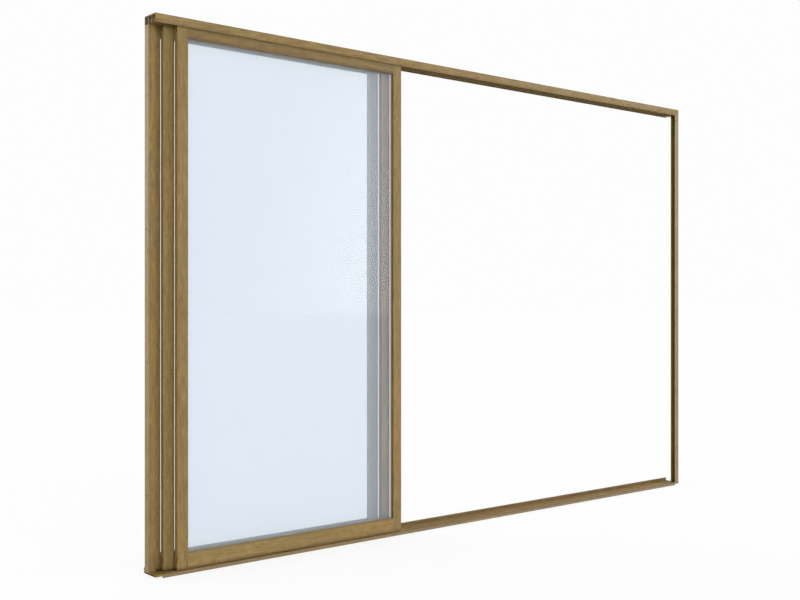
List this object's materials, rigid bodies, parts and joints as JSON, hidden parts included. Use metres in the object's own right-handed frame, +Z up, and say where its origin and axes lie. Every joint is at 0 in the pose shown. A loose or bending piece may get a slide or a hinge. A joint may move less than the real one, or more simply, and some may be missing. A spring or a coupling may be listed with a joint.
{
  "type": "sliding glass door",
  "caption": "Slim-framed sliding glass door set: sashes stack one behind another at one end of a long head and sill, oak-grain finish, clear panes, on rollers",
  "frame": {"origin": "middle of the underside of the whole set: mid width, mid depth, the plane that the sill stands on", "axes": "+X along the door from the stacked end to the open end, +Y from the outside to the inside, +Z up"},
  "size_m": [3.228, 0.09, 2.1],
  "materials": {
    "oak_profile_horizontal": "oak-grain finish on extruded aluminium, grain along X",
    "oak_profile_vertical": "oak-grain finish on extruded aluminium, grain along Z",
    "clear_glass": "clear toughened glass with a pale blue tint",
    "gasket_rubber": "matt warm grey rubber",
    "screw_steel": "zinc-plated screws",
    "zinc_steel": "zinc-plated sheet steel",
    "rail_steel": "bronze-toned stainless rail",
    "dark_bracket": "dark bronze painted steel",
    "black_plastic": "dark moulded nylon",
    "roller_nylon": "turned off-white nylon",
    "brush_pile": "grey woven pile"
  },
  "bodies": {
    "frame": {"head_track": "oak_profile_horizontal", "sill_base": "oak_profile_horizontal", "sill_front_nose": "oak_profile_horizontal", "sill_back_upstand": "oak_profile_horizontal", "sill_rear_packer": "black_plastic", "sill_upstand_screws": "screw_steel", "running_rails": "rail_steel", "left_jamb": "oak_profile_vertical", "right_jamb": "oak_profile_vertical", "corner_brackets": "dark_bracket", "corner_bracket_screws": "dark_bracket", "end_stops": "black_plastic", "end_stop_screws": "screw_steel", "stop_buffers": "gasket_rubber"},
    "front_sash": {"front_sash_left_stile": "oak_profile_vertical", "front_sash_right_stile": "oak_profile_vertical", "front_sash_top_rail": "oak_profile_horizontal", "front_sash_bottom_rail": "oak_profile_horizontal", "front_sash_glass": "clear_glass", "front_sash_glazing_gasket": "gasket_rubber", "front_sash_corner_screws": "screw_steel", "front_sash_stile_caps": "black_plastic", "front_sash_roller_brackets": "zinc_steel", "front_sash_roller_bracket_screws": "screw_steel", "front_sash_roller_axles": "zinc_steel", "front_sash_top_guides": "black_plastic", "front_sash_interlock_brush": "brush_pile"},
    "front_sash_left_roller": {"front_sash_left_roller": "roller_nylon"},
    "front_sash_right_roller": {"front_sash_right_roller": "roller_nylon"},
    "middle_sash": {"middle_sash_left_stile": "oak_profile_vertical", "middle_sash_right_stile": "oak_profile_vertical", "middle_sash_top_rail": "oak_profile_horizontal", "middle_sash_bottom_rail": "oak_profile_horizontal", "middle_sash_glass": "clear_glass", "middle_sash_glazing_gasket": "gasket_rubber", "middle_sash_corner_screws": "screw_steel", "middle_sash_stile_caps": "black_plastic", "middle_sash_roller_brackets": "zinc_steel", "middle_sash_roller_bracket_screws": "screw_steel", "middle_sash_roller_axles": "zinc_steel", "middle_sash_top_guides": "black_plastic", "middle_sash_interlock_brush": "brush_pile"},
    "middle_sash_left_roller": {"middle_sash_left_roller": "roller_nylon"},
    "middle_sash_right_roller": {"middle_sash_right_roller": "roller_nylon"},
    "back_sash": {"back_sash_left_stile": "oak_profile_vertical", "back_sash_right_stile": "oak_profile_vertical", "back_sash_top_rail": "oak_profile_horizontal", "back_sash_bottom_rail": "oak_profile_horizontal", "back_sash_glass": "clear_glass", "back_sash_glazing_gasket": "gasket_rubber", "back_sash_corner_screws": "screw_steel", "back_sash_stile_caps": "black_plastic", "back_sash_roller_brackets": "zinc_steel", "back_sash_roller_bracket_screws": "screw_steel", "back_sash_roller_axles": "zinc_steel", "back_sash_top_guides": "black_plastic"},
    "back_sash_left_roller": {"back_sash_left_roller": "roller_nylon"},
    "back_sash_right_roller": {"back_sash_right_roller": "roller_nylon"}
  },
  "joints": [
    {"name": "front_sash_slide", "type": "slide", "parent": "frame", "child": "front_sash", "axis": [1, 0, 0], "range_m": [0, 2.026]},
    {"name": "front_sash_left_roller_spin", "type": "hinge", "parent": "front_sash", "child": "front_sash_left_roller", "pos_m": [-1.39, -0.03, 0.0268], "axis": [0, 1, 0], "continuous": true},
    {"name": "front_sash_right_roller_spin", "type": "hinge", "parent": "front_sash", "child": "front_sash_right_roller", "pos_m": [-0.548, -0.03, 0.0268], "axis": [0, 1, 0], "continuous": true},
    {"name": "middle_sash_slide", "type": "slide", "parent": "frame", "child": "middle_sash", "axis": [1, 0, 0], "range_m": [0, 2.026]},
    {"name": "middle_sash_left_roller_spin", "type": "hinge", "parent": "middle_sash", "child": "middle_sash_left_roller", "pos_m": [-1.434, -0.003, 0.0268], "axis": [0, 1, 0], "continuous": true},
    {"name": "middle_sash_right_roller_spin", "type": "hinge", "parent": "middle_sash", "child": "middle_sash_right_roller", "pos_m": [-0.592, -0.003, 0.0268], "axis": [0, 1, 0], "continuous": true},
    {"name": "back_sash_slide", "type": "slide", "parent": "frame", "child": "back_sash", "axis": [1, 0, 0], "range_m": [0, 2.026]},
    {"name": "back_sash_left_roller_spin", "type": "hinge", "parent": "back_sash", "child": "back_sash_left_roller", "pos_m": [-1.478, 0.024, 0.0268], "axis": [0, 1, 0], "continuous": true},
    {"name": "back_sash_right_roller_spin", "type": "hinge", "parent": "back_sash", "child": "back_sash_right_roller", "pos_m": [-0.636, 0.024, 0.0268], "axis": [0, 1, 0], "continuous": true}
  ],
  "couplings": [
    {"joint": "front_sash_left_roller_spin", "follows": "front_sash_slide", "rad_per_m": 111.11},
    {"joint": "front_sash_right_roller_spin", "follows": "front_sash_slide", "rad_per_m": 111.11},
    {"joint": "middle_sash_left_roller_spin", "follows": "middle_sash_slide", "rad_per_m": 111.11},
    {"joint": "middle_sash_right_roller_spin", "follows": "middle_sash_slide", "rad_per_m": 111.11},
    {"joint": "back_sash_left_roller_spin", "follows": "back_sash_slide", "rad_per_m": 111.11},
    {"joint": "back_sash_right_roller_spin", "follows": "back_sash_slide", "rad_per_m": 111.11}
  ]
}
